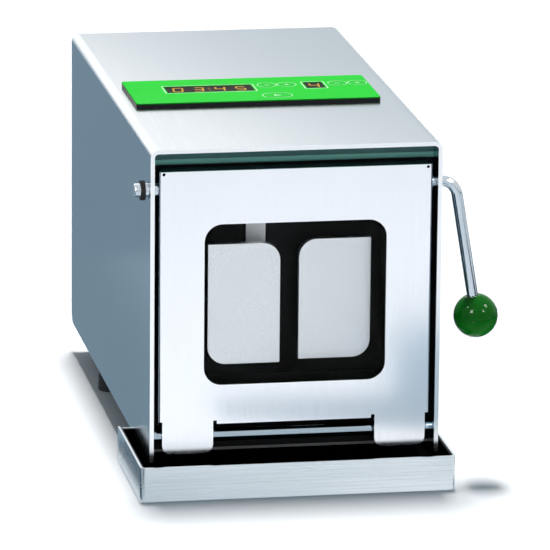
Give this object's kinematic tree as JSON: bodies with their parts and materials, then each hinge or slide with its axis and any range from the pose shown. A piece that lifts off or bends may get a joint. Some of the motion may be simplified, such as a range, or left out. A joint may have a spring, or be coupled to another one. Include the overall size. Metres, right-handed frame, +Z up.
{
  "type": "paddle blender homogenizer",
  "caption": "Bench paddle blender for sample bags: folded steel casing, windowed drop-down door, side lever with ball knob, roof control panel and front drip tray.",
  "frame": {"origin": "on the table, under the middle of the casing's front edge (a point of the tray's underside)", "axes": "+X to the right as seen by the user, +Y to the rear, +Z up"},
  "size_m": [0.2646, 0.4204, 0.2562],
  "materials": {
    "casing_steel": "satin rolled stainless steel",
    "door_steel": "fine brushed stainless steel",
    "tray_steel": "horizontally brushed stainless steel",
    "inner_steel": "black powder coat",
    "galvanised": "zinc plated sheet",
    "black_coat": "black enamel",
    "teal_rubber": "teal silicone",
    "black_rubber": "matt",
    "turned_steel": "turned and polished",
    "paddle_steel": "bead blasted stainless",
    "bronze": "sintered bronze",
    "cast_alloy": "machined",
    "motor_paint": "grey enamel",
    "clear_pane": "clear",
    "green_knob": "polished phenolic",
    "green_film": "printed polyester film",
    "black_plastic": "moulded",
    "display": "smoked filter",
    "board": "circuit board",
    "core_steel": "varnished laminations",
    "black_tray": "gloss moulded"
  },
  "bodies": {
    "root": {"casing": "casing_steel", "base_plate": "galvanised", "front_bulkhead": "inner_steel", "roof_seal": "teal_rubber", "hinge_rod": "turned_steel", "lever_bushes": "black_plastic", "chamber_tub": "black_coat", "lip_seal": "black_rubber", "bag_guide_strip": "paddle_steel", "guide_block": "cast_alloy", "paddle_bushes": "bronze", "drive_plate_left": "cast_alloy", "drive_plate_right": "cast_alloy", "crank_bearings": "turned_steel", "drive_belt": "black_rubber", "motor_body": "motor_paint", "motor_cradle": "galvanised", "panel_plate": "black_plastic", "panel_overlay": "green_film", "display_board": "board", "time_display": "display", "speed_display": "display", "rear_panel": "galvanised", "rear_screws": "turned_steel", "power_inlet": "black_plastic", "switch_housing": "black_plastic", "feet": "black_rubber", "power_board": "board", "transformer": "core_steel"},
    "door": {"door_front": "door_steel", "door_rails": "galvanised", "window_gasket": "black_rubber", "door_window": "clear_pane", "window_clips": "galvanised", "hinge_knuckles": "cast_alloy"},
    "lever": {"lever_shaft": "turned_steel", "latch_blades": "turned_steel", "lever_rod": "turned_steel", "lever_knob": "green_knob", "retaining_ring": "black_rubber"},
    "tray": {"tray_skirt": "tray_steel", "tray_liner": "black_tray"},
    "left_paddle": {"paddle_left": "paddle_steel", "paddle_rod_left": "turned_steel", "fork_left": "cast_alloy"},
    "right_paddle": {"paddle_right": "paddle_steel", "paddle_rod_right": "turned_steel", "fork_right": "cast_alloy"},
    "crank": {"crankshaft": "turned_steel", "crank_pulley": "cast_alloy"},
    "left_conrod": {"conrod_left": "cast_alloy"},
    "right_conrod": {"conrod_right": "cast_alloy"},
    "rotor": {"motor_shaft": "turned_steel", "motor_pulley": "cast_alloy"},
    "rocker": {"power_rocker": "black_plastic"},
    "time_less": {"time_key_less": "green_film"},
    "time_more": {"time_key_more": "green_film"},
    "speed_less": {"speed_key_less": "green_film"},
    "speed_more": {"speed_key_more": "green_film"},
    "start": {"start_key": "green_film"}
  },
  "joints": [
    {"name": "door_hinge", "type": "hinge", "parent": "root", "child": "door", "pos_m": [0, 0.012, 0.04], "axis": [1, 0, 0], "range_deg": [0, 90]},
    {"name": "lever_turn", "type": "hinge", "parent": "root", "child": "lever", "pos_m": [0, 0.01, 0.222], "axis": [-1, 0, 0], "range_deg": [-35, 38]},
    {"name": "tray_pull", "type": "slide", "parent": "root", "child": "tray", "axis": [0, -1, 0], "range_m": [0, 0.12]},
    {"name": "left_paddle_stroke", "type": "slide", "parent": "root", "child": "left_paddle", "axis": [0, -1, 0], "range_m": [-0.0115, 0.0045]},
    {"name": "right_paddle_stroke", "type": "slide", "parent": "root", "child": "right_paddle", "axis": [0, -1, 0], "range_m": [-0.0045, 0.0115]},
    {"name": "crank_turn", "type": "hinge", "parent": "root", "child": "crank", "pos_m": [0, 0.17507, 0.1331], "axis": [1, 0, 0], "continuous": true},
    {"name": "left_conrod_pivot", "type": "hinge", "parent": "crank", "child": "left_conrod", "pos_m": [-0.0336, 0.17157, 0.14029], "axis": [1, 0, 0], "continuous": true},
    {"name": "right_conrod_pivot", "type": "hinge", "parent": "crank", "child": "right_conrod", "pos_m": [0.0336, 0.17857, 0.12591], "axis": [1, 0, 0], "continuous": true},
    {"name": "motor_turn", "type": "hinge", "parent": "root", "child": "rotor", "pos_m": [0, 0.262, 0.08], "axis": [1, 0, 0], "continuous": true},
    {"name": "rocker_tip", "type": "hinge", "parent": "root", "child": "rocker", "pos_m": [-0.022, 0.3966, 0.062], "axis": [1, 0, 0], "range_deg": [0, 18]},
    {"name": "time_less_press", "type": "slide", "parent": "root", "child": "time_less", "axis": [0, 0, -1], "range_m": [0, 0.0005], "stiffness_N_per_m": 400},
    {"name": "time_more_press", "type": "slide", "parent": "root", "child": "time_more", "axis": [0, 0, -1], "range_m": [0, 0.0005], "stiffness_N_per_m": 400},
    {"name": "speed_less_press", "type": "slide", "parent": "root", "child": "speed_less", "axis": [0, 0, -1], "range_m": [0, 0.0005], "stiffness_N_per_m": 400},
    {"name": "speed_more_press", "type": "slide", "parent": "root", "child": "speed_more", "axis": [0, 0, -1], "range_m": [0, 0.0005], "stiffness_N_per_m": 400},
    {"name": "start_press", "type": "slide", "parent": "root", "child": "start", "axis": [0, 0, -1], "range_m": [0, 0.0005], "stiffness_N_per_m": 400}
  ],
  "couplings": [
    {"joint": "right_paddle_stroke", "follows": "left_paddle_stroke", "ratio": -1},
    {"joint": "left_conrod_pivot", "follows": "crank_turn", "ratio": -1},
    {"joint": "right_conrod_pivot", "follows": "crank_turn", "ratio": -1},
    {"joint": "motor_turn", "follows": "crank_turn", "ratio": 3}
  ]
}
